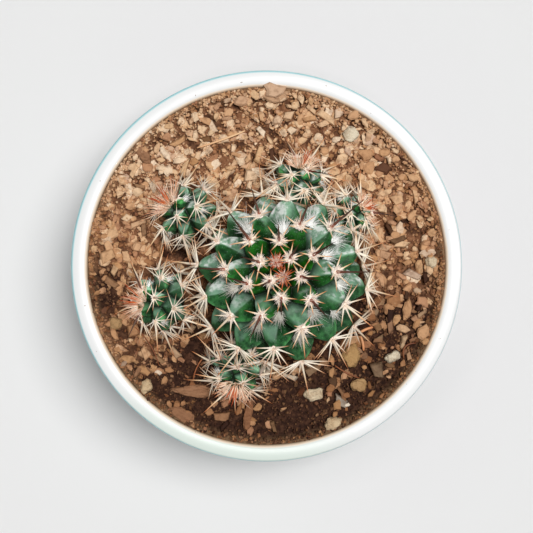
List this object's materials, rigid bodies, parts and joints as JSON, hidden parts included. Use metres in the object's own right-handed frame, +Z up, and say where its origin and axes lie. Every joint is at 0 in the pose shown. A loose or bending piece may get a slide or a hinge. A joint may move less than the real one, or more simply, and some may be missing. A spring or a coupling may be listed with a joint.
{
  "type": "potted round cactus",
  "caption": "Round nipple cactus with small offsets round its base, in gritty soil in a plain white glazed pot.",
  "frame": {"origin": "on the pot's axis, on the surface that its foot ring stands on", "axes": "+Z up; seen from above with +Y up the page, +X is to the right"},
  "size_m": [0.12, 0.12, 0.1302],
  "materials": {
    "pot_glaze": "smooth glossy white glaze",
    "soil": "loose grit, bark crumbs and dark moist compost",
    "cactus": "waxy deep green skin with cream and red-brown spines",
    "stone": "dry tan, grey and white pebbles",
    "bark": "dry fibrous bark chips"
  },
  "bodies": {
    "root": {"pot": "pot_glaze", "soil": "soil", "stem_main": "cactus", "offset_upper_left": "cactus", "offset_left": "cactus", "offset_lower": "cactus", "offset_upper": "cactus", "offset_right": "cactus", "stone_white": "stone", "stone_pale": "stone", "stone_tan_large": "stone", "stone_tan": "stone", "stone_tan_low": "stone", "stone_left": "stone", "stone_far_left": "stone", "stone_grey": "stone", "stone_right": "stone", "bark_rim": "bark", "bark_lower_left": "bark", "bark_curled": "bark", "bark_upright": "bark", "bark_upper_left": "bark"}
  },
  "joints": []
}
